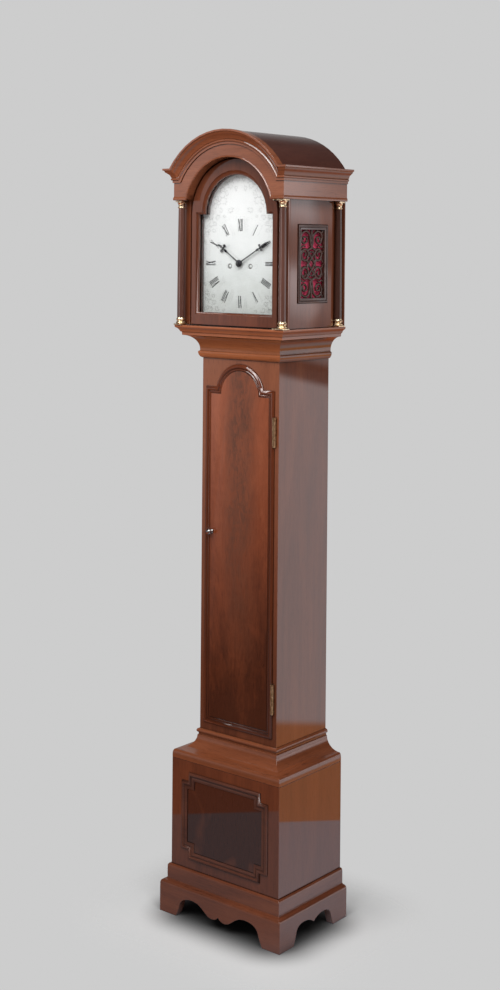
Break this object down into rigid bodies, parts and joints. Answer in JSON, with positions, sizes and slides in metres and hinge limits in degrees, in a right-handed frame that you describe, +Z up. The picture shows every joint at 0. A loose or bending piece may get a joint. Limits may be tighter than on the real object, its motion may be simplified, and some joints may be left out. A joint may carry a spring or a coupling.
{
  "type": "grandmother clock",
  "caption": "Small longcase clock with an arched hood on columns, glazed hood door, fretted sides, arched trunk door and panelled plinth on bracket feet.",
  "frame": {"origin": "on the floor under the middle of the clock's overall width and depth", "axes": "+Z up, front towards -Y, +X to the right seen from the front"},
  "size_m": [0.341, 0.2434, 1.7005],
  "materials": {
    "mahogany": "French-polished gloss",
    "flame_mahogany": "French-polished gloss, flame figure",
    "oak": "plain planed",
    "brass": "polished and lacquered",
    "steel": "bright",
    "black_steel": "blacked steel",
    "silvered": "silvered brass, engraved and waxed",
    "glass": "clear float",
    "silk": "stretched silk",
    "gut": "twisted gut line"
  },
  "bodies": {
    "case": {"back_board": "oak", "trunk_carcase": "mahogany", "throat_moulding": "mahogany", "waist_moulding": "mahogany", "plinth_box": "mahogany", "plinth_panel_moulding": "mahogany", "bracket_skirt": "mahogany", "seat_board": "oak", "hinge_upper_case_leaf": "brass", "hinge_lower_case_leaf": "brass", "dial_plate": "silvered", "front_plate": "brass", "back_plate": "brass", "bell": "brass", "strike_line": "gut", "going_line": "gut"},
    "trunk_door": {"trunk_door": "flame_mahogany", "hinge_upper_door_leaf": "brass", "hinge_lower_door_leaf": "brass"},
    "door_knob": {"door_knob": "black_steel"},
    "hood": {"hood_base_frame": "mahogany", "hood_side_left": "mahogany", "hood_side_right": "mahogany", "fret_left": "mahogany", "fret_right": "mahogany", "silk_left": "silk", "silk_right": "silk", "hood_frieze": "mahogany", "hood_roof": "mahogany", "hood_cornice": "mahogany", "hood_mask": "mahogany", "column_front_left": "mahogany", "column_front_right": "mahogany", "column_rear_left": "mahogany", "column_rear_right": "mahogany", "column_base_front_left": "brass", "column_base_front_right": "brass", "column_base_rear_left": "brass", "column_base_rear_right": "brass", "column_capital_front_left": "brass", "column_capital_front_right": "brass", "column_capital_rear_left": "brass", "column_capital_rear_right": "brass"},
    "hood_door": {"hood_door_frame": "mahogany", "hood_door_glass": "glass", "hood_door_pivot_lower": "brass", "hood_door_pivot_upper": "brass"},
    "centre_wheel": {"centre_wheel": "brass"},
    "third_wheel": {"third_wheel": "brass"},
    "escape_wheel": {"escape_wheel": "brass"},
    "minute_hand": {"minute_hand": "black_steel"},
    "hour_hand": {"hour_hand": "black_steel"},
    "anchor": {"anchor": "steel"},
    "pendulum": {"pendulum_rod": "steel", "pendulum_bob": "brass"},
    "going_weight": {"going_weight": "brass"},
    "strike_weight": {"strike_weight": "brass"},
    "going_barrel": {"going_barrel": "brass"},
    "strike_barrel": {"strike_barrel": "brass"},
    "hammer": {"hammer": "steel"}
  },
  "joints": [
    {"name": "hood_slide", "type": "slide", "parent": "case", "child": "hood", "axis": [0, -1, 0], "range_m": [0, 0.26]},
    {"name": "hood_door_hinge", "type": "hinge", "parent": "hood", "child": "hood_door", "pos_m": [0.12009, -0.09225, 1.415], "axis": [0, 0, 1], "range_deg": [0, 105]},
    {"name": "trunk_door_hinge", "type": "hinge", "parent": "case", "child": "trunk_door", "pos_m": [0.0982, -0.05925, 0.78], "axis": [0, 0, 1], "range_deg": [0, 110]},
    {"name": "knob_turn", "type": "hinge", "parent": "trunk_door", "child": "door_knob", "pos_m": [-0.076, -0.05425, 0.831], "axis": [0, 1, 0], "range_deg": [0, 90]},
    {"name": "centre_wheel_turn", "type": "hinge", "parent": "case", "child": "centre_wheel", "pos_m": [0, -0.00825, 1.415], "axis": [0, 1, 0], "continuous": true},
    {"name": "third_wheel_turn", "type": "hinge", "parent": "case", "child": "third_wheel", "pos_m": [0.00604, -0.00825, 1.44268], "axis": [0, 1, 0], "continuous": true},
    {"name": "escape_wheel_turn", "type": "hinge", "parent": "case", "child": "escape_wheel", "pos_m": [0, -0.00825, 1.469], "axis": [0, 1, 0], "continuous": true},
    {"name": "minute_hand_turn", "type": "hinge", "parent": "case", "child": "minute_hand", "pos_m": [0, -0.05825, 1.415], "axis": [0, 1, 0], "continuous": true},
    {"name": "hour_hand_turn", "type": "hinge", "parent": "case", "child": "hour_hand", "pos_m": [0, -0.05325, 1.415], "axis": [0, 1, 0], "continuous": true},
    {"name": "pendulum_swing", "type": "hinge", "parent": "case", "child": "pendulum", "pos_m": [0, 0.04175, 1.499], "axis": [0, 1, 0], "range_deg": [-2.5, 2.5]},
    {"name": "anchor_rock", "type": "hinge", "parent": "case", "child": "anchor", "pos_m": [0, 0.01175, 1.499], "axis": [0, 1, 0], "range_deg": [-2.6, 2.6]},
    {"name": "going_weight_travel", "type": "slide", "parent": "case", "child": "going_weight", "axis": [0, 0, 1], "range_m": [0, 0.9], "deforming": ["going_line"]},
    {"name": "strike_weight_travel", "type": "slide", "parent": "case", "child": "strike_weight", "axis": [0, 0, 1], "range_m": [0, 0.9], "deforming": ["strike_line"]},
    {"name": "going_barrel_turn", "type": "hinge", "parent": "case", "child": "going_barrel", "pos_m": [0.0285, -0.00825, 1.4092], "axis": [0, 1, 0], "range_deg": [-5420, 0]},
    {"name": "strike_barrel_turn", "type": "hinge", "parent": "case", "child": "strike_barrel", "pos_m": [-0.0285, -0.00825, 1.4092], "axis": [0, 1, 0], "range_deg": [0, 5420]},
    {"name": "hammer_swing", "type": "hinge", "parent": "case", "child": "hammer", "pos_m": [0.048, -0.01525, 1.49], "axis": [0, 1, 0], "range_deg": [0, 18], "stiffness_Nm_per_rad": 0.03, "springref_deg": -5.73}
  ],
  "couplings": [
    {"joint": "third_wheel_turn", "follows": "centre_wheel_turn", "ratio": -7.5},
    {"joint": "escape_wheel_turn", "follows": "centre_wheel_turn", "ratio": 60},
    {"joint": "minute_hand_turn", "follows": "centre_wheel_turn", "ratio": 1},
    {"joint": "hour_hand_turn", "follows": "centre_wheel_turn", "ratio": 0.083333},
    {"joint": "anchor_rock", "follows": "pendulum_swing", "ratio": 1},
    {"joint": "going_barrel_turn", "follows": "going_weight_travel", "rad_per_m": -104.71},
    {"joint": "strike_barrel_turn", "follows": "strike_weight_travel", "rad_per_m": 104.71}
  ]
}
